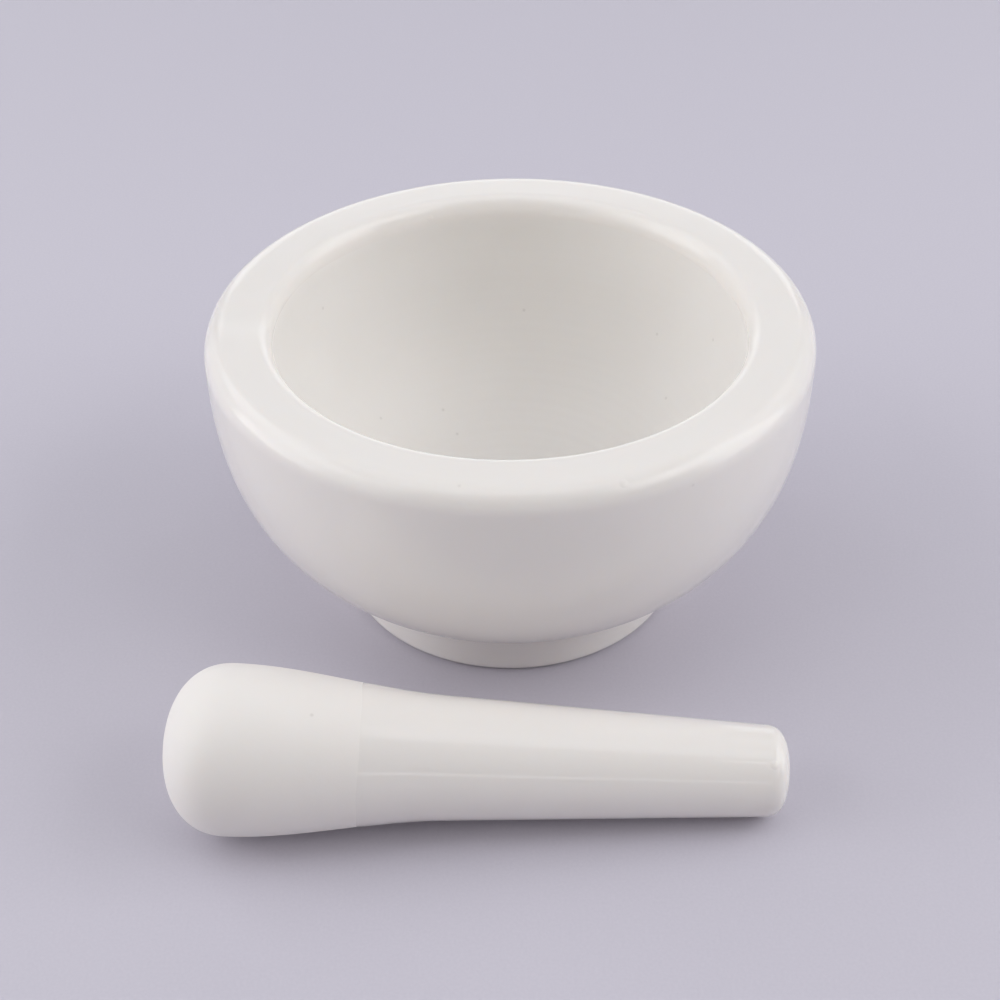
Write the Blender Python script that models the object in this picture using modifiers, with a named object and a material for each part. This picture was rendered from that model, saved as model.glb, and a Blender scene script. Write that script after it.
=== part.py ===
"""Laboratory mortar and pestle in glazed porcelain, at real size.

Run with: blender --background --python part.py, or from Blender's text editor.

Metres, +Z up. The pair stands on the plane z = 0 with the middle of its footprint at the
origin. The mortar is behind, and the pestle lies on its side in front of it (towards -Y),
with its grinding head towards -X. The pestle rests on its head and on the end of its grip,
just clear of the rim in plan, so that it lifts straight up past the mortar.
"""

import math

import bpy
import numpy as np
from mathutils import Euler, Vector

MM = 0.001

# ---------------------------------------------------------------- driving dimensions
# Mortar
RIM_RADIUS = 50.0 * MM           # outside, at the widest point, just under the rim
MORTAR_HEIGHT = 53.0 * MM
RIM_WIDTH = 11.0 * MM            # from the outside to the opening
RIM_OUTER_ROUND = 3.6 * MM
RIM_INNER_ROUND = 2.2 * MM
RIM_INNER_DROP = 3.4 * MM          # how far down the hollow the inner rounding reaches
BODY_FULLNESS = 2.6              # superellipse exponent of the outside: 2 would be an ellipse
BODY_CLOSING_HEIGHT = 4.2 * MM   # where the outside curve would meet the axis, inside the foot
FLOOR_THICKNESS = 10.5 * MM      # from the table to the bottom of the hollow
FOOT_RADIUS = 29.3 * MM
FOOT_ROOT_ROUND = 1.5 * MM       # hollow fillet between the body and the foot
FOOT_EDGE_ROUND = 1.5 * MM
FOOT_RING_WIDTH = 7.0 * MM       # the ring that the mortar stands on
FOOT_RECESS_DEPTH = 1.5 * MM
LIP_WIDTH = 18.0 * MM            # pouring lip, a shallow groove across the rim at -X
LIP_DEPTH = 0.4 * MM

# Pestle, stations measured along its axis from the tip of its head
PESTLE_LENGTH = 94.5 * MM
HEAD_RADIUS = 13.0 * MM
HEAD_CROWN = 10.1 * MM           # length of the rounded end, from the tip to the widest point
HEAD_FULLNESS = 2.25
NECK_LENGTH = 32.0 * MM          # from the widest point to where the straight grip starts
GRIP_RADIUS = 9.4 * MM           # where the grip starts
GRIP_END_RADIUS = 7.0 * MM
GRIP_END_ROUND = 4.0 * MM        # length of the grip's rounded end
GRIP_END_FULLNESS = 3.0

# Placing
RIM_TO_PESTLE_GAP = 0.3 * MM     # in plan, between the rim and the nearest part of the pestle
PESTLE_SHIFT = -5.4 * MM         # middle of the pestle's length, from the mortar's axis, along X
PESTLE_YAW = math.radians(0.4)
TABLE_GAP = 0.05 * MM            # under the laid pestle, whose weight the stop of its lift takes

# Facets: steps go round a piece, and spans go along its outline
MORTAR_STEPS = 80
PESTLE_STEPS = 48
HOLLOW_SPANS = 12
BODY_SPANS = 12
SMALL_ROUND_SPANS = 4
CROWN_SPANS = 10
NECK_SPANS = 8
GRIP_END_SPANS = 7
LIP_CUTTER_SIDES = 192
MERGE_DISTANCE = 0.01 * MM

PORCELAIN = (0.86, 0.85, 0.83, 1.0)
GLAZE_ROUGHNESS = 0.15


ELLIPSE = 2.0                    # the fullness of a plain ellipse or circle


# ---------------------------------------------------------------- outlines
def quarter(start, end, corner, fullness, spans):
    """Points of a superellipse quarter from start to end, bulging towards corner.

    start and end each share one coordinate with corner; start itself is left out.
    """
    start, end, corner = Vector(start), Vector(end), Vector(corner)
    middle = start + end - corner
    points = []
    for step in range(1, spans + 1):
        angle = math.pi / 2 * step / spans
        along_start = math.cos(angle) ** (2 / fullness) if step < spans else 0.0
        along_end = math.sin(angle) ** (2 / fullness)
        points.append(middle + (start - middle) * along_start + (end - middle) * along_end)
    return points


def fillet(start, corner, end, spans):
    """Points of a quadratic curve that leaves start and reaches end along the two sides of corner."""
    start, corner, end = Vector(start), Vector(corner), Vector(end)
    points = []
    for step in range(1, spans + 1):
        t = step / spans
        points.append(start * (1 - t) ** 2 + corner * 2 * t * (1 - t) + end * t**2)
    return points


def body_height(radius, widest_height):
    """Height of the outside curve at this radius, under the widest point."""
    drop = widest_height - BODY_CLOSING_HEIGHT
    share = (1 - (radius / RIM_RADIUS) ** BODY_FULLNESS) ** (1 / BODY_FULLNESS)
    return widest_height - drop * share


def mortar_outline():
    """(radius, height) points from the hollow's bottom, over the rim, down the outside and under the foot."""
    opening = RIM_RADIUS - RIM_WIDTH
    hollow_top = MORTAR_HEIGHT - RIM_INNER_DROP
    widest = MORTAR_HEIGHT - RIM_OUTER_ROUND

    points = [Vector((0.0, FLOOR_THICKNESS))]
    points += quarter(points[-1], (opening, hollow_top), (opening, FLOOR_THICKNESS), ELLIPSE, HOLLOW_SPANS)
    inner_edge = (opening + RIM_INNER_ROUND, MORTAR_HEIGHT)
    points += quarter(points[-1], inner_edge, (opening, MORTAR_HEIGHT), ELLIPSE, SMALL_ROUND_SPANS)
    outer_edge = Vector((RIM_RADIUS - RIM_OUTER_ROUND, MORTAR_HEIGHT))
    points.append(outer_edge)
    shoulder_corner = (RIM_RADIUS, MORTAR_HEIGHT)
    points += quarter(outer_edge, (RIM_RADIUS, widest), shoulder_corner, ELLIPSE, SMALL_ROUND_SPANS)

    # The body ends where its curve comes to the fillet over the foot.
    root_radius = FOOT_RADIUS + FOOT_ROOT_ROUND
    root_share = (root_radius / RIM_RADIUS) ** (BODY_FULLNESS / 2)
    last_angle = math.acos(root_share)
    for step in range(1, BODY_SPANS + 1):
        radius = RIM_RADIUS * math.cos(last_angle * step / BODY_SPANS) ** (2 / BODY_FULLNESS)
        points.append(Vector((radius, body_height(radius, widest))))

    short_way_in = 0.01 * MM
    slope = (points[-1].y - body_height(root_radius - short_way_in, widest)) / short_way_in
    foot_corner = Vector((FOOT_RADIUS, points[-1].y - slope * FOOT_ROOT_ROUND))
    foot_top = foot_corner - Vector((0.0, FOOT_ROOT_ROUND))
    points += fillet(points[-1], foot_corner, foot_top, SMALL_ROUND_SPANS)

    points.append(Vector((FOOT_RADIUS, FOOT_EDGE_ROUND)))
    foot_ring_outside = (FOOT_RADIUS - FOOT_EDGE_ROUND, 0.0)
    points += quarter(points[-1], foot_ring_outside, (FOOT_RADIUS, 0.0), ELLIPSE, SMALL_ROUND_SPANS)
    ring_inside = FOOT_RADIUS - FOOT_RING_WIDTH
    points.append(Vector((ring_inside, 0.0)))
    points.append(Vector((ring_inside - FOOT_RECESS_DEPTH, FOOT_RECESS_DEPTH)))
    points.append(Vector((0.0, FOOT_RECESS_DEPTH)))
    return points


def neck(start, end, end_slope, spans):
    """Points of a cubic from start, where it is level, to end, where it has end_slope; start is left out."""
    length = end.x - start.x
    points = []
    for step in range(1, spans + 1):
        t = step / spans
        from_start = 2 * t**3 - 3 * t**2 + 1
        radius = from_start * start.y + (1 - from_start) * end.y + (t**3 - t**2) * length * end_slope
        points.append(Vector((start.x + length * t, radius)))
    return points


def pestle_outline():
    """(distance from the head's tip, radius) points from the tip to the grip's end."""
    grip_start = HEAD_CROWN + NECK_LENGTH
    grip_end = PESTLE_LENGTH - GRIP_END_ROUND
    grip_slope = (GRIP_END_RADIUS - GRIP_RADIUS) / (grip_end - grip_start)

    points = [Vector((0.0, 0.0))]
    widest = Vector((HEAD_CROWN, HEAD_RADIUS))
    points += quarter(points[-1], widest, (0.0, HEAD_RADIUS), HEAD_FULLNESS, CROWN_SPANS)
    points += neck(widest, Vector((grip_start, GRIP_RADIUS)), grip_slope, NECK_SPANS)
    points.append(Vector((grip_end, GRIP_END_RADIUS)))
    end = (PESTLE_LENGTH, 0.0)
    end_corner = (PESTLE_LENGTH, GRIP_END_RADIUS)
    points += quarter(points[-1], end, end_corner, GRIP_END_FULLNESS, GRIP_END_SPANS)
    return points


# ---------------------------------------------------------------- Blender objects
def clear_scene():
    for thing in list(bpy.data.objects):
        bpy.data.objects.remove(thing)


def new_collection(name):
    collection = bpy.data.collections.new(name)
    bpy.context.scene.collection.children.link(collection)
    return collection


def new_empty(name, collection, parent=None, location=(0, 0, 0)):
    empty = bpy.data.objects.new(name, None)
    empty.empty_display_size = 10 * MM
    empty.location = location
    empty.parent = parent
    collection.objects.link(empty)
    return empty


def porcelain_material(name):
    material = bpy.data.materials.new(name)
    material.use_nodes = True
    shader = material.node_tree.nodes["Principled BSDF"]
    shader.inputs["Base Color"].default_value = PORCELAIN
    shader.inputs["Roughness"].default_value = GLAZE_ROUGHNESS
    shader.inputs["Metallic"].default_value = 0.0
    return material


def turned(name, outline, steps, collection, parent):
    """A piece turned about its own Z axis from an outline of (radius, height), top to bottom outside."""
    mesh = bpy.data.meshes.new(name)
    edges = [(i, i + 1) for i in range(len(outline) - 1)]
    mesh.from_pydata([(p.x, 0.0, p.y) for p in outline], edges, [])
    piece = bpy.data.objects.new(name, mesh)
    piece.parent = parent
    collection.objects.link(piece)
    screw = piece.modifiers.new("Turned", "SCREW")
    screw.axis = "Z"
    screw.angle = math.tau
    screw.steps = steps
    screw.render_steps = steps
    screw.use_merge_vertices = True
    screw.merge_threshold = MERGE_DISTANCE
    screw.use_smooth_shade = True
    mesh.materials.append(porcelain_material(name + "_porcelain"))
    return piece


def cut_pouring_lip(mortar, cutters):
    """A shallow round-bottomed groove across the rim, towards -X, from the opening to the outside."""
    half_width = LIP_WIDTH / 2
    radius = (half_width**2 + LIP_DEPTH**2) / (2 * LIP_DEPTH)
    overrun = 5 * MM
    length = RIM_WIDTH + 2 * overrun
    bpy.ops.mesh.primitive_cylinder_add(
        vertices=LIP_CUTTER_SIDES,
        radius=radius,
        depth=length,
        rotation=(0.0, math.pi / 2, 0.0),
        location=(-RIM_RADIUS + RIM_WIDTH / 2, 0.0, MORTAR_HEIGHT + radius - LIP_DEPTH),
    )
    cutter = bpy.context.object
    cutter.name = "pouring_lip_cutter"
    cutter.hide_render = True
    cutter.display_type = "WIRE"
    cutter.parent = mortar
    for owner in list(cutter.users_collection):
        owner.objects.unlink(cutter)
    cutters.objects.link(cutter)
    cut = mortar.modifiers.new("Pouring lip", "BOOLEAN")
    cut.operation = "DIFFERENCE"
    cut.object = cutter


def depth_under_tip(point, tilt):
    """How far a point of the lower outline is under the head's tip, with the axis dipping by tilt."""
    return point.x * math.sin(tilt) + point.y * math.cos(tilt)


def resting_tilt(outline):
    """How far the pestle's axis dips towards its grip, and its tip's height, as it lies on the table."""
    head = [p for p in outline if p.x < PESTLE_LENGTH / 2]
    grip = [p for p in outline if p.x >= PESTLE_LENGTH / 2]
    tilt = 0.0
    for _ in range(20):
        low_head = max(head, key=lambda p: depth_under_tip(p, tilt))
        low_grip = max(grip, key=lambda p: depth_under_tip(p, tilt))
        tilt = math.atan2(low_head.y - low_grip.y, low_grip.x - low_head.x)
    return tilt, depth_under_tip(low_head, tilt)


def distance_from_axis(outline, tilt):
    """How far in front of the mortar's axis the pestle lies, just clear of the rim in plan."""
    stations = np.linspace(0.0, PESTLE_LENGTH, 400)
    radii = np.interp(stations, [p.x for p in outline], [p.y for p in outline])
    along = (stations - PESTLE_LENGTH / 2) * math.cos(tilt)
    beside = PESTLE_SHIFT + along * math.cos(PESTLE_YAW)
    rim = np.sqrt(np.maximum(RIM_RADIUS**2 - beside**2, 0.0))
    needed = rim + radii / math.cos(PESTLE_YAW) + along * math.sin(PESTLE_YAW)
    return needed.max() + RIM_TO_PESTLE_GAP


def lay_pestle(pestle, lift, outline):
    """Puts the pestle on the table in front of the mortar, on its head and the end of its grip."""
    tilt, tip_height = resting_tilt(outline)
    lift.location = (PESTLE_SHIFT, -distance_from_axis(outline, tilt), 0.0)
    lift.rotation_euler = Euler((0.0, 0.0, PESTLE_YAW))
    pestle.location = (-PESTLE_LENGTH / 2 * math.cos(tilt), 0.0, tip_height + TABLE_GAP)
    pestle.rotation_euler = Euler((0.0, math.pi / 2 + tilt, 0.0))


def footprint_middle(pieces):
    """Middle of the pieces' bounding box, in plan."""
    bpy.context.view_layer.update()
    depsgraph = bpy.context.evaluated_depsgraph_get()
    places = []
    for piece in pieces:
        solid = piece.evaluated_get(depsgraph)
        mesh = solid.to_mesh()
        places += [solid.matrix_world @ vertex.co for vertex in mesh.vertices]
        solid.to_mesh_clear()
    low = [min(p[i] for p in places) for i in (0, 1)]
    high = [max(p[i] for p in places) for i in (0, 1)]
    return Vector(((low[0] + high[0]) / 2, (low[1] + high[1]) / 2, 0.0))


def main():
    clear_scene()
    parts = new_collection("mortar_and_pestle")
    cutters = new_collection("cutters")
    pair = new_empty("pair", parts)

    mortar = turned("mortar", mortar_outline(), MORTAR_STEPS, parts, pair)
    cut_pouring_lip(mortar, cutters)

    lift = new_empty("pestle_lift", parts, pair)
    along = pestle_outline()
    standing = [Vector((p.y, p.x)) for p in reversed(along)]
    pestle = turned("pestle", standing, PESTLE_STEPS, parts, lift)
    lay_pestle(pestle, lift, along)

    pair.location = -footprint_middle([mortar, pestle])


main()
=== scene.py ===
"""The looks of a laboratory porcelain mortar and pestle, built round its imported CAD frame.

Both pieces are turned again at a fine pitch, with the low step where the glaze ends, a softened
pouring lip and the small unevenness that casting and firing leave. The mortar's outside and rim and
the pestle's grip are glazed. The bowl's inside, the foot's underside and the pestle's head are bare
biscuit porcelain. Metres, +Z up, in the CAD frame.
"""

import math

import bpy
import numpy as np
from mathutils import Matrix, Vector


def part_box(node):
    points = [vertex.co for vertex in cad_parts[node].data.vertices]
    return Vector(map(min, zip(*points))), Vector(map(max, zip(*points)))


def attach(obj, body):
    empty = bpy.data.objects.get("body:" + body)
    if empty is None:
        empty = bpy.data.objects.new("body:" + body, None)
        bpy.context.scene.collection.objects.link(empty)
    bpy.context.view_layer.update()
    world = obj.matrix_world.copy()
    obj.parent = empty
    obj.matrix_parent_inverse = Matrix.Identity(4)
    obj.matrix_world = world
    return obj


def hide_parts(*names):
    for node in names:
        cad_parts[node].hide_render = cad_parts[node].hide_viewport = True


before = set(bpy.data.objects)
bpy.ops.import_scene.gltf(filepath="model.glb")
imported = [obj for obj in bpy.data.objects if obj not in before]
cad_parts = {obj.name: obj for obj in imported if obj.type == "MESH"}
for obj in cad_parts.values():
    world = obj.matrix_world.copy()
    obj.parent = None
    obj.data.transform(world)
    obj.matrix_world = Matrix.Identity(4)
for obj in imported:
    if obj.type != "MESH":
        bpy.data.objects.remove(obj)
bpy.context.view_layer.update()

MM = 0.001

# ---------------------------------------------------------------- sizes, as the CAD model has them
MORTAR_LOW, MORTAR_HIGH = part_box("mortar")
PESTLE_LOW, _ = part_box("pestle")
AXIS = Vector(((MORTAR_LOW.x + MORTAR_HIGH.x) / 2, (MORTAR_LOW.y + MORTAR_HIGH.y) / 2, 0.0))
RIM_RADIUS = (MORTAR_HIGH.x - MORTAR_LOW.x) / 2
MORTAR_HEIGHT = MORTAR_HIGH.z
HEAD_RADIUS = 13.0 * MM

RIM_WIDTH = 11.0 * MM
RIM_OUTER_ROUND = 3.6 * MM
RIM_INNER_ROUND = 2.2 * MM
RIM_INNER_DROP = 3.4 * MM  # how far down the hollow the inner rounding reaches
BODY_FULLNESS = 2.6
BODY_CLOSING_HEIGHT = 4.2 * MM
FLOOR_THICKNESS = 10.5 * MM
FOOT_RADIUS = 29.3 * MM
FOOT_ROOT_ROUND = 1.5 * MM
FOOT_EDGE_ROUND = 1.5 * MM
FOOT_RING_WIDTH = 7.0 * MM
FOOT_RECESS_DEPTH = 1.5 * MM
LIP_WIDTH = 18.0 * MM
LIP_DEPTH = 0.25 * MM  # softened: the groove in the CAD model is 0.4 mm deep

PESTLE_LENGTH = 94.5 * MM
HEAD_CROWN = 10.1 * MM
HEAD_FULLNESS = 2.25
NECK_LENGTH = 32.0 * MM
GRIP_RADIUS = 9.4 * MM
GRIP_END_RADIUS = 7.0 * MM
GRIP_END_ROUND = 4.0 * MM
GRIP_END_FULLNESS = 3.0
PESTLE_YAW = math.radians(0.4)

# ---------------------------------------------------------------- glaze and bare porcelain
GLAZE_THICKNESS = 0.06 * MM
HOLLOW_GLAZE_EDGE = 0.3 * MM  # how far the glaze runs down into the hollow, under the rim's round
GRIP_GLAZE_EDGE = 29.5 * MM  # from the tip of the pestle's head
OVALNESS = 0.03 * MM  # how far the glazed part of the mortar stands out of round
GRIP_OVALNESS = 0.02 * MM
RING_WAVE_DEPTH = 0.006 * MM
RING_WAVES = ((1.9, 0.4), (3.1, 2.1), (4.7, 4.0), (7.3, 1.2))  # pitch in mm, phase

# The darkest and the palest tone of each surface.
GLAZE_COLOURS = ((0.85, 0.815, 0.78, 1.0), (0.88, 0.845, 0.815, 1.0))
BOWL_BISCUIT = ((0.81, 0.78, 0.745, 1.0), (0.84, 0.815, 0.79, 1.0))
PESTLE_BISCUIT = ((0.86, 0.822, 0.785, 1.0), (0.89, 0.857, 0.828, 1.0))
FLOOR_COLOURS = ((0.55, 0.526, 0.60, 1.0), (0.604, 0.577, 0.648, 1.0))
MORTAR_GLOSS = 0.18  # roughness of the glaze
PESTLE_GLOSS = 0.05

SPECK_RADIUS = 0.38 * MM
SPECK_COLOUR = (0.30, 0.27, 0.23, 1.0)
GLAZED_SPECK_SHARE = 0.12  # how far a speck under the glaze takes on the speck colour
BARE_SPECK_SHARE = 0.2
BLISTER_RADIUS = 0.7 * MM
BLISTER_HEIGHT = 0.06 * MM
# Specks in the porcelain and blisters in the glaze: mm, from the foot of the mortar's axis.
BOWL_SPECKS = (
    (-33.0, 19.6, 42.2), (26.7, 23.6, 33.6), (35.4, 12.7, 39.2), (28.0, 14.0, 26.1),
    (-23.5, 14.5, 22.0), (-9.9, 17.6, 16.1), (-12.5, 21.1, 19.1), (2.7, 34.8, 32.1),
)
SHOULDER_SPECKS = ((-7.4, -46.7, 52.9), (26.5, -42.4, 49.3))
MORTAR_BLISTERS = ((-14.3, 36.5, 50.8), (16.1, -45.7, 52.3))
# The same on the pestle: mm, in the shared frame.
PESTLE_SPECKS = ((-28.0, -51.7, 23.6),)
PESTLE_BLISTERS = ((40.2, -51.9, 12.6),)

# ---------------------------------------------------------------- studio
CAMERA_BACK = 242.0 * MM  # from the mortar's axis
CAMERA_HEIGHT = 201.2 * MM
CAMERA_PITCH, CAMERA_YAW, CAMERA_ROLL = 0.658, -0.0083, -0.0142
CAMERA_LENS = 62.0
CAMERA_SENSOR = 36.0

SOFTBOX_DISTANCE = 0.9
SOFTBOX_AIM = Vector((0.0, -0.02, 0.02))  # from the foot of the mortar's axis
STUDIO_BRIGHTNESS = 1.03  # on every softbox
LEFT_POWERS = {
    ("front", "low"): 0.55, ("front", "high"): 0.58, ("side", "low"): 1.87,
    ("side", "high"): 1.44, ("back", "low"): 0.27, ("back", "high"): 0.86,
}
RIGHT_POWERS = {
    ("front", "low"): 0.00, ("front", "high"): 1.02, ("side", "low"): 1.63,
    ("side", "high"): 1.88, ("back", "low"): 0.27, ("back", "high"): 0.57,
}
COOL = (0.94, 0.96, 1.0)
NEUTRAL = (0.98, 0.99, 1.0)
WARM = (1.0, 0.99, 0.96)
WALL_COLOUR = (0.97, 0.94, 1.0, 1.0)
WALL_GLOW = 0.38  # at the horizon
CEILING_GLOW = 0.09
FLOOR_SIZE = 20.0

# ---------------------------------------------------------------- mesh pitch
OUTLINE_PITCH = 0.45 * MM
MORTAR_STEPS = 270
PESTLE_STEPS = 140
DENSE_SPANS = 400  # in each stretch of an outline, before the rings are laid along it
ELLIPSE = 2.0  # the fullness of a superellipse that is a plain ellipse


# ---------------------------------------------------------------- camera and light
def make_camera():
    """The camera looks over the pestle into the bowl."""
    data = bpy.data.cameras.new("camera")
    data.lens = CAMERA_LENS
    data.sensor_width = CAMERA_SENSOR
    data.clip_start = 0.01
    data.clip_end = 20.0
    camera = bpy.data.objects.new("camera", data)
    bpy.context.scene.collection.objects.link(camera)
    camera.location = AXIS + Vector((0.0, -CAMERA_BACK, CAMERA_HEIGHT))
    yaw = Matrix.Rotation(-CAMERA_YAW, 4, "Z")
    pitch = Matrix.Rotation(math.pi / 2 - CAMERA_PITCH, 4, "X")
    roll = Matrix.Rotation(CAMERA_ROLL, 4, "Z")
    camera.rotation_euler = (yaw @ pitch @ roll).to_euler()
    bpy.context.scene.camera = camera


def add_softbox(name, azimuth, elevation, size, power, colour):
    """A rectangular softbox facing the bowl. Azimuth is in degrees, clockwise from behind."""
    light = bpy.data.lights.new(name, "AREA")
    light.shape = "RECTANGLE"
    light.size, light.size_y = size
    light.energy = STUDIO_BRIGHTNESS * power
    light.color = colour
    softbox = bpy.data.objects.new(name, light)
    bpy.context.scene.collection.objects.link(softbox)
    turn, climb = math.radians(azimuth), math.radians(elevation)
    level = math.cos(climb)
    place = Vector((math.sin(turn) * level, math.cos(turn) * level, math.sin(climb)))
    place *= SOFTBOX_DISTANCE
    softbox.location = AXIS + place
    softbox.rotation_euler = (SOFTBOX_AIM - place).to_track_quat("-Z", "Y").to_euler()


def light_studio():
    """Each side has a low and a high row, from beside the camera round to behind the mortar."""
    bays = (("front", 126, 0.45, WARM), ("side", 92, 0.655, NEUTRAL), ("back", 55, 0.55, COOL))
    rows = (("low", 16, 0.38), ("high", 42, 0.45))
    for side, turn, powers in (("left", -1, LEFT_POWERS), ("right", 1, RIGHT_POWERS)):
        for bay, azimuth, width, colour in bays:
            for row, elevation, height in rows:
                size = (width * math.cos(math.radians(elevation)), height)
                power = powers[bay, row]
                if power > 0:
                    name = f"{side}_{bay}_{row}"
                    add_softbox(name, turn * azimuth, elevation, size, power, colour)
    add_softbox("back_low", 0, 17, (0.9, 0.4), 1.26, NEUTRAL)
    add_softbox("back_high", 0, 50, (0.9, 0.45), 0.31, COOL)
    add_softbox("overhead", 0, 78, (0.9, 0.45), 0.76, COOL)
    add_softbox("overhead_front", 180, 80, (0.9, 0.32), 0.98, COOL)
    add_softbox("front_strip", 180, 14, (0.7, 0.08), 0.25, WARM)
    bpy.context.scene.world = studio_walls()
    bpy.context.scene.view_settings.view_transform = "Standard"


def studio_walls():
    """Pale at the horizon, where the floor runs out, and dim above."""
    world = bpy.data.worlds.new("studio")
    world.use_nodes = True
    tree = world.node_tree
    direction = add_node(tree, "ShaderNodeTexCoord").outputs["Generated"]
    climb = add_node(tree, "ShaderNodeSeparateXYZ", {"Vector": direction}).outputs["Z"]
    glow = remap(tree, climb, 0.04, 0.20, WALL_GLOW, CEILING_GLOW)
    tree.links.new(glow, tree.nodes["Background"].inputs["Strength"])
    tree.nodes["Background"].inputs["Color"].default_value = WALL_COLOUR
    return world


# ---------------------------------------------------------------- node helpers
def add_node(tree, kind, inputs=None, **settings):
    """Adds a node. Each input is set to a value, or linked if it is given a socket."""
    node = tree.nodes.new(kind)
    for name, value in settings.items():
        setattr(node, name, value)
    for name, value in (inputs or {}).items():
        if isinstance(value, bpy.types.NodeSocket):
            tree.links.new(value, node.inputs[name])
        else:
            node.inputs[name].default_value = value
    return node


def new_material(name):
    material = bpy.data.materials.new(name)
    material.use_nodes = True
    tree = material.node_tree
    return material, tree, tree.nodes["Principled BSDF"]


def noise(tree, where, size, detail=2.0):
    """Noise with features of about this size, in metres."""
    inputs = {"Vector": where, "Scale": 1.0 / size, "Detail": detail}
    return add_node(tree, "ShaderNodeTexNoise", inputs).outputs["Fac"]


def remap(tree, value, low, high, to_low, to_high):
    inputs = {0: value, 1: low, 2: high, 3: to_low, 4: to_high}
    return add_node(tree, "ShaderNodeMapRange", inputs).outputs["Result"]


def mix_colours(tree, share, first, second):
    node = add_node(tree, "ShaderNodeMix", data_type="RGBA")
    for index, value in ((0, share), (6, first), (7, second)):
        if isinstance(value, bpy.types.NodeSocket):
            tree.links.new(value, node.inputs[index])
        else:
            node.inputs[index].default_value = value
    return node.outputs[2]


def bump(tree, height, depth, under=None):
    """A bump whose full height is depth, in metres, on top of another bump's normal."""
    inputs = {"Height": height, "Distance": depth, "Strength": 1.0}
    if under is not None:
        inputs["Normal"] = under
    return add_node(tree, "ShaderNodeBump", inputs).outputs["Normal"]


# ---------------------------------------------------------------- materials
def spots(tree, where, places, radius):
    """1 at each of these places, falling to 0 at radius from it. The places are in mm."""
    mask = 0.0
    for place in places:
        centre = Vector(place) * MM
        away = add_node(tree, "ShaderNodeVectorMath", {0: where, 1: centre}, operation="DISTANCE")
        spot = remap(tree, away.outputs["Value"], 0.3 * radius, radius, 1.0, 0.0)
        mask = add_node(tree, "ShaderNodeMath", {0: mask, 1: spot}, operation="MAXIMUM").outputs[0]
    return mask


def speckled(tree, colour, where, specks, share):
    """The colour with a speck at each of these places."""
    amount = remap(tree, spots(tree, where, specks, SPECK_RADIUS), 0.0, 1.0, 0.0, share)
    return mix_colours(tree, amount, colour, SPECK_COLOUR)


def porcelain(shader, ior):
    """Light goes a little way into the clay body under either surface."""
    shader.inputs["IOR"].default_value = ior
    shader.inputs["Subsurface Weight"].default_value = 0.25
    shader.inputs["Subsurface Radius"].default_value = (1.0, 0.85, 0.7)
    shader.inputs["Subsurface Scale"].default_value = 1.5 * MM


def glaze_material(name, gloss, specks, blisters):
    """Clear gloss glaze over white porcelain, faintly wavy and clouded."""
    material, tree, shader = new_material(name)
    where = add_node(tree, "ShaderNodeTexCoord").outputs["Object"]
    colour = mix_colours(tree, noise(tree, where, 22 * MM, 3.0), *GLAZE_COLOURS)
    if specks:
        colour = speckled(tree, colour, where, specks, GLAZED_SPECK_SHARE)
    tree.links.new(colour, shader.inputs["Base Color"])
    waves = bump(tree, noise(tree, where, 9 * MM, 1.0), 0.03 * MM)
    peel = bump(tree, noise(tree, where, 1.3 * MM, 1.0), 0.0012 * MM, waves)
    blister = bump(tree, spots(tree, where, blisters, BLISTER_RADIUS), BLISTER_HEIGHT, peel)
    tree.links.new(blister, shader.inputs["Normal"])
    haze = remap(tree, noise(tree, where, 6 * MM), 0.3, 0.7, 0.8 * gloss, 1.2 * gloss)
    tree.links.new(haze, shader.inputs["Roughness"])
    porcelain(shader, 1.5)
    return material


def biscuit_material(name, dark, light, specks):
    """Unglazed porcelain, fired dense and a little rough."""
    material, tree, shader = new_material(name)
    where = add_node(tree, "ShaderNodeTexCoord").outputs["Object"]
    colour = mix_colours(tree, noise(tree, where, 16 * MM, 4.0), dark, light)
    colour = speckled(tree, colour, where, specks, BARE_SPECK_SHARE)
    tree.links.new(colour, shader.inputs["Base Color"])
    grain = bump(tree, noise(tree, where, 0.35 * MM, 3.0), 0.008 * MM)
    tree.links.new(grain, shader.inputs["Normal"])
    chalk = remap(tree, noise(tree, where, 3 * MM), 0.3, 0.7, 0.5, 0.62)
    tree.links.new(chalk, shader.inputs["Roughness"])
    porcelain(shader, 1.45)
    return material


def floor_material():
    """Plain pale lavender-grey cloth."""
    material, tree, shader = new_material("pale_floor")
    where = add_node(tree, "ShaderNodeTexCoord").outputs["Object"]
    colour = mix_colours(tree, noise(tree, where, 0.5 * MM, 2.0), *FLOOR_COLOURS)
    tree.links.new(colour, shader.inputs["Base Color"])
    shader.inputs["Roughness"].default_value = 0.9
    # Far from the softboxes the floor keeps the tone that it has under them.
    away = add_node(tree, "ShaderNodeVectorMath", {0: where}, operation="LENGTH").outputs["Value"]
    glow = remap(tree, away, 0.8, 1.8, 0.0, WALL_GLOW)
    tree.links.new(glow, shader.inputs["Emission Strength"])
    shader.inputs["Emission Color"].default_value = WALL_COLOUR
    return material


# ---------------------------------------------------------------- outlines
def bulge(start, end, corner, fullness):
    """Points of a superellipse quarter from start to end, bulging towards corner."""
    start, end, corner = (np.array(point, float) for point in (start, end, corner))
    middle = start + end - corner
    angle = np.linspace(0.0, math.pi / 2, DENSE_SPANS + 1)[:, None]
    along_start = np.cos(angle).clip(0.0) ** (2 / fullness)
    along_end = np.sin(angle) ** (2 / fullness)
    return middle + (start - middle) * along_start + (end - middle) * along_end


def body_height(radius, widest_height):
    """Height of the bowl's outside curve at this radius, under its widest point."""
    drop = widest_height - BODY_CLOSING_HEIGHT
    share = (1 - (radius / RIM_RADIUS) ** BODY_FULLNESS) ** (1 / BODY_FULLNESS)
    return widest_height - drop * share


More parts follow.
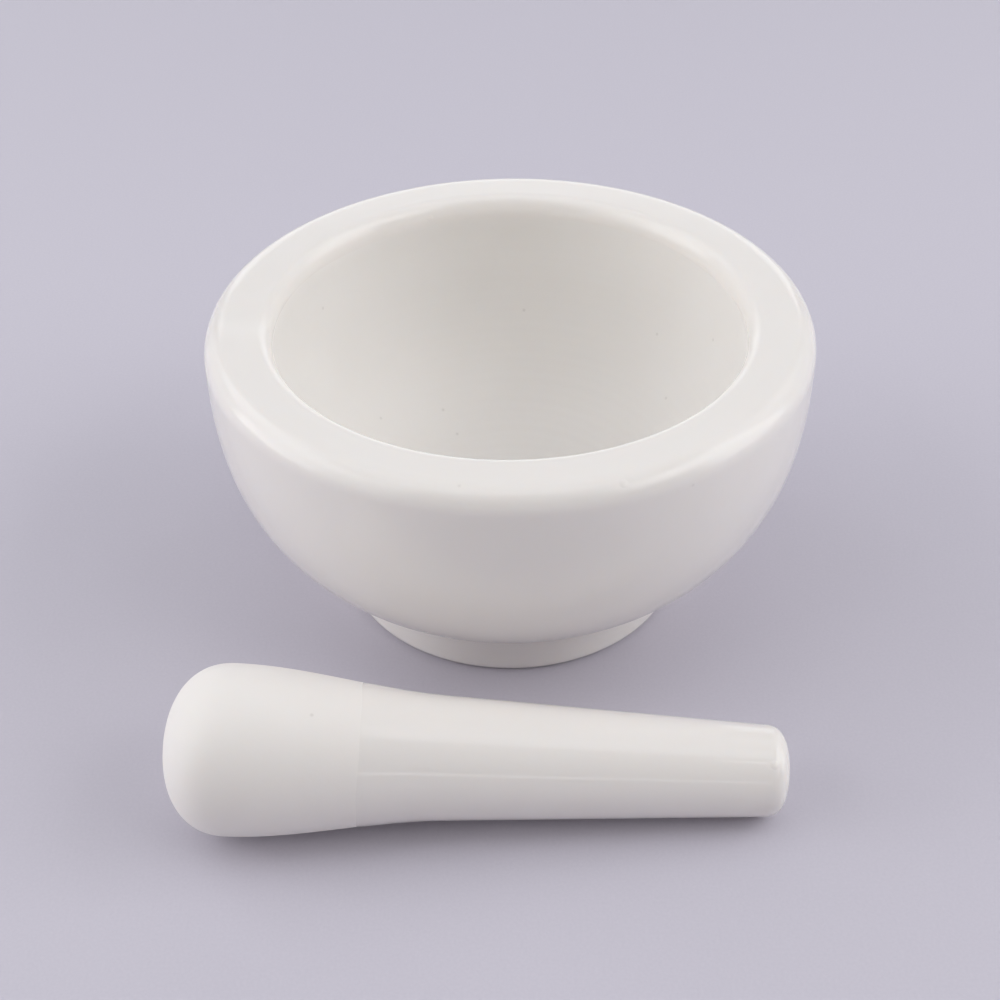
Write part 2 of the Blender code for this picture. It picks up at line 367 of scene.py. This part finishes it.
def fillet(start, corner, end):
    """Points of a curve that leaves start and reaches end along the two sides of corner."""
    start, corner, end = (np.array(point, float) for point in (start, corner, end))
    t = np.linspace(0.0, 1.0, DENSE_SPANS + 1)[:, None]
    return start * (1 - t) ** 2 + corner * 2 * t * (1 - t) + end * t**2


class Outline:
    """(distance out, distance up) points, read by the distance run along them."""

    def __init__(self, stretches):
        points = np.concatenate(stretches)
        steps = np.linalg.norm(np.diff(points, axis=0), axis=1)
        keep = np.concatenate(([True], steps > 1e-9))
        self.points = points[keep]
        steps = np.linalg.norm(np.diff(self.points, axis=0), axis=1)
        self.run = np.concatenate(([0.0], np.cumsum(steps)))
        tangent = np.gradient(self.points, self.run, axis=0)
        tangent /= np.linalg.norm(tangent, axis=1)[:, None]
        self.normal = np.stack((-tangent[:, 1], tangent[:, 0]), axis=1)

    def length(self):
        return self.run[-1]

    def at(self, run):
        """Out, up, and the surface normal's out and up, where this much has been run."""
        out = np.interp(run, self.run, self.points[:, 0])
        up = np.interp(run, self.run, self.points[:, 1])
        normal_out = np.interp(run, self.run, self.normal[:, 0])
        normal_up = np.interp(run, self.run, self.normal[:, 1])
        return out, up, normal_out, normal_up


def mortar_outline():
    """The outline from the hollow's bottom over the rim, down the outside and under the foot.

    With it come the runs at the hollow's top and at the foot's edge, where the glaze ends.
    """
    opening = RIM_RADIUS - RIM_WIDTH
    hollow_top = MORTAR_HEIGHT - RIM_INNER_DROP
    widest = MORTAR_HEIGHT - RIM_OUTER_ROUND
    hollow_corner = (opening, FLOOR_THICKNESS)
    hollow = bulge((0.0, FLOOR_THICKNESS), (opening, hollow_top), hollow_corner, ELLIPSE)
    inner_edge = (opening + RIM_INNER_ROUND, MORTAR_HEIGHT)
    inner_round = bulge((opening, hollow_top), inner_edge, (opening, MORTAR_HEIGHT), ELLIPSE)
    outer_edge = (RIM_RADIUS - RIM_OUTER_ROUND, MORTAR_HEIGHT)
    shoulder = bulge(outer_edge, (RIM_RADIUS, widest), (RIM_RADIUS, MORTAR_HEIGHT), ELLIPSE)

    root_radius = FOOT_RADIUS + FOOT_ROOT_ROUND
    last_angle = math.acos((root_radius / RIM_RADIUS) ** (BODY_FULLNESS / 2))
    angle = last_angle * np.linspace(0.0, 1.0, DENSE_SPANS + 1) ** 2
    body_radius = RIM_RADIUS * np.cos(angle) ** (2 / BODY_FULLNESS)
    body = np.stack((body_radius, body_height(body_radius, widest)), axis=1)

    short_way_in = 0.01 * MM
    slope = (body[-1][1] - body_height(root_radius - short_way_in, widest)) / short_way_in
    foot_corner = (FOOT_RADIUS, body[-1][1] - slope * FOOT_ROOT_ROUND)
    foot_top = (FOOT_RADIUS, foot_corner[1] - FOOT_ROOT_ROUND)
    foot_root = fillet(body[-1], foot_corner, foot_top)
    foot_edge_top = (FOOT_RADIUS, FOOT_EDGE_ROUND)
    ring_outside = (FOOT_RADIUS - FOOT_EDGE_ROUND, 0.0)
    foot_edge = bulge(foot_edge_top, ring_outside, (FOOT_RADIUS, 0.0), ELLIPSE)
    ring_inside = FOOT_RADIUS - FOOT_RING_WIDTH
    underside = [
        (ring_inside, 0.0),
        (ring_inside - FOOT_RECESS_DEPTH, FOOT_RECESS_DEPTH),
        (0.0, FOOT_RECESS_DEPTH),
    ]
    to_foot = [hollow, inner_round, shoulder, body, foot_root, foot_edge]
    whole = Outline(to_foot + [np.array(underside)])
    return whole, Outline([hollow]).length(), Outline(to_foot).length()


def neck(start, end, end_slope):
    """Points of a cubic from start, where it is level, to end, where it has end_slope."""
    length = end[0] - start[0]
    t = np.linspace(0.0, 1.0, DENSE_SPANS + 1)
    from_start = 2 * t**3 - 3 * t**2 + 1
    radius = from_start * start[1] + (1 - from_start) * end[1] + (t**3 - t**2) * length * end_slope
    return np.stack((start[0] + length * t, radius), axis=1)


def pestle_outline():
    """(distance from the head's tip, radius) points from the tip to the middle of the end."""
    grip_start = HEAD_CROWN + NECK_LENGTH
    grip_end = PESTLE_LENGTH - GRIP_END_ROUND
    slope = (GRIP_END_RADIUS - GRIP_RADIUS) / (grip_end - grip_start)
    crown = bulge((0.0, 0.0), (HEAD_CROWN, HEAD_RADIUS), (0.0, HEAD_RADIUS), HEAD_FULLNESS)
    middle = neck((HEAD_CROWN, HEAD_RADIUS), (grip_start, GRIP_RADIUS), slope)
    end_corner = (PESTLE_LENGTH, GRIP_END_RADIUS)
    end = bulge((grip_end, GRIP_END_RADIUS), (PESTLE_LENGTH, 0.0), end_corner, GRIP_END_FULLNESS)
    return np.concatenate([crown, middle, end])


# ---------------------------------------------------------------- turning
def smooth_step(value, low, high):
    """0 up to low, 1 from high, and a soft slope between them."""
    t = ((value - low) / (high - low)).clip(0.0, 1.0)
    return t * t * (3 - 2 * t)


def near(value, place, width):
    """1 at place, fading away on both sides of it."""
    return np.exp(-(((value - place) / width) ** 2))


def turned_piece(name, outline, steps, edges, relief, materials):
    """A piece turned about Z. Its rings lie evenly between the runs in edges.

    edges is [(run at the end of a stretch, the edge's wander in metres, its material's index)].
    relief gives how far the surface stands proud at each run and angle.
    """
    rings, ring_material, start = [0.0], [], 0.0
    for end, _, index in edges:
        spans = max(2, round((end - start) / OUTLINE_PITCH))
        rings += list(np.linspace(start, end, spans + 1)[1:])
        ring_material += [index] * spans
        start = end
    angle = np.arange(steps) * math.tau / steps
    run = np.array(rings)[:, None] + np.zeros(steps)
    for end, wander, _ in edges[:-1]:
        wave = wander * (np.sin(3 * angle + end * 900) + 0.6 * np.sin(7 * angle + 1.3))
        run = run + wave * near(np.array(rings)[:, None], end, 3 * MM)
    out, up, normal_out, normal_up = outline.at(run)
    stand = relief(run, angle + np.zeros_like(run))
    out, up = out + stand * normal_out, up + stand * normal_up
    out[0], out[-1] = 0.0, 0.0
    places = np.stack((out * np.cos(angle), out * np.sin(angle), up), axis=2)
    count = len(rings)
    vertices = [tuple(places[0].mean(axis=0))]
    vertices += [tuple(place) for ring in places[1:-1] for place in ring]
    vertices.append(tuple(places[-1].mean(axis=0)))
    faces, indices = [], []
    last = len(vertices) - 1
    for ring in range(count - 1):
        upper, lower = 1 + (ring - 1) * steps, 1 + ring * steps
        for step in range(steps):
            after = (step + 1) % steps
            if ring == 0:
                faces.append((0, lower + step, lower + after))
            elif ring == count - 2:
                faces.append((upper + step, last, upper + after))
            else:
                faces.append((upper + step, lower + step, lower + after, upper + after))
            indices.append(ring_material[ring])
    mesh = bpy.data.meshes.new(name)
    mesh.from_pydata(vertices, [], faces)
    for material in materials:
        mesh.materials.append(material)
    mesh.polygons.foreach_set("material_index", indices)
    mesh.shade_smooth()
    piece = bpy.data.objects.new(name, mesh)
    bpy.context.scene.collection.objects.link(piece)
    return piece


def move_vertices(piece, change):
    """Moves a piece's vertices: change takes and returns an array of places."""
    mesh = piece.data
    flat = np.empty(len(mesh.vertices) * 3)
    mesh.vertices.foreach_get("co", flat)
    mesh.vertices.foreach_set("co", change(flat.reshape(-1, 3)).ravel())
    mesh.update()


# ---------------------------------------------------------------- mortar
def sink_pouring_lip(places):
    """Sinks a soft shallow groove across the rim, towards -X."""
    x, y, z = places.T
    across = np.cos((y / LIP_WIDTH).clip(-0.5, 0.5) * math.pi) ** 2
    near_top = smooth_step(z, MORTAR_HEIGHT - 3 * MM, MORTAR_HEIGHT)
    sunk = places.copy()
    sunk[:, 2] -= np.where(x < 0.0, LIP_DEPTH * across * near_top, 0.0)
    return sunk


def make_mortar():
    outline, hollow_run, glazed_run = mortar_outline()
    glaze_start = hollow_run - HOLLOW_GLAZE_EDGE

    def relief(run, angle):
        glazed = smooth_step(run, glaze_start, glaze_start + 2.0 * MM)
        glazed = glazed * smooth_step(-run, -glazed_run, -glazed_run + 0.6 * MM)
        stand = GLAZE_THICKNESS * (glazed - 1.0)
        for pitch, phase in RING_WAVES:
            wave = RING_WAVE_DEPTH * np.sin(run / MM * math.tau / pitch + phase)
            stand = stand + wave * (1 - glazed)
        return stand + OVALNESS * np.sin(2 * angle + 0.6) * (run > glaze_start)

    edges = [(glaze_start, 0.15 * MM, 1), (glazed_run, 0.2 * MM, 0), (outline.length(), 0.0, 1)]
    materials = [
        glaze_material("mortar_glaze", MORTAR_GLOSS, SHOULDER_SPECKS, MORTAR_BLISTERS),
        biscuit_material("mortar_biscuit", *BOWL_BISCUIT, BOWL_SPECKS),
    ]
    bowl = turned_piece("mortar_bowl", outline, MORTAR_STEPS, edges, relief, materials)
    move_vertices(bowl, sink_pouring_lip)
    bowl.location = AXIS
    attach(bowl, "mortar")
    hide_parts("mortar")


# ---------------------------------------------------------------- pestle
def resting_tilt(places):
    """How far the pestle's axis dips towards its grip when head and grip both touch the table."""
    head = places[places[:, 0] < PESTLE_LENGTH / 2]
    grip = places[places[:, 0] >= PESTLE_LENGTH / 2]
    tilt = 0.0
    for _ in range(20):
        down = np.array((math.sin(tilt), math.cos(tilt)))
        low_head = head[np.argmax(head @ down)]
        low_grip = grip[np.argmax(grip @ down)]
        tilt = math.atan2(low_head[1] - low_grip[1], low_grip[0] - low_head[0])
    return tilt


def make_pestle():
    places = pestle_outline()
    tilt = resting_tilt(places)
    standing = Outline([np.stack((places[:, 1], -places[:, 0]), axis=1)])
    glaze_start = np.interp(GRIP_GLAZE_EDGE, -standing.points[:, 1], standing.run)

    def relief(run, angle):
        glazed = smooth_step(run, glaze_start, glaze_start + 1.5 * MM)
        stand = GLAZE_THICKNESS * (glazed - 1.0)
        return stand + GRIP_OVALNESS * np.sin(2 * angle + 0.6) * glazed

    edges = [(glaze_start, 0.1 * MM, 1), (standing.length(), 0.0, 0)]
    materials = [
        glaze_material("pestle_glaze", PESTLE_GLOSS, (), PESTLE_BLISTERS),
        biscuit_material("pestle_biscuit", *PESTLE_BISCUIT, PESTLE_SPECKS),
    ]
    pestle = turned_piece("pestle_body", standing, PESTLE_STEPS, edges, relief, materials)
    pestle.data.transform(
        Matrix.Rotation(PESTLE_YAW, 4, "Z") @ Matrix.Rotation(-math.pi / 2 + tilt, 4, "Y")
    )
    move_vertices(pestle, lambda places: places - places.min(axis=0) + np.array(PESTLE_LOW))
    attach(pestle, "pestle")
    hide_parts("pestle")


def make_floor():
    bpy.ops.mesh.primitive_plane_add(size=FLOOR_SIZE, location=(0.0, 0.0, 0.0))
    floor = bpy.context.object
    floor.name = "floor"
    floor.data.materials.append(floor_material())


make_camera()
light_studio()
make_floor()
make_mortar()
make_pestle()
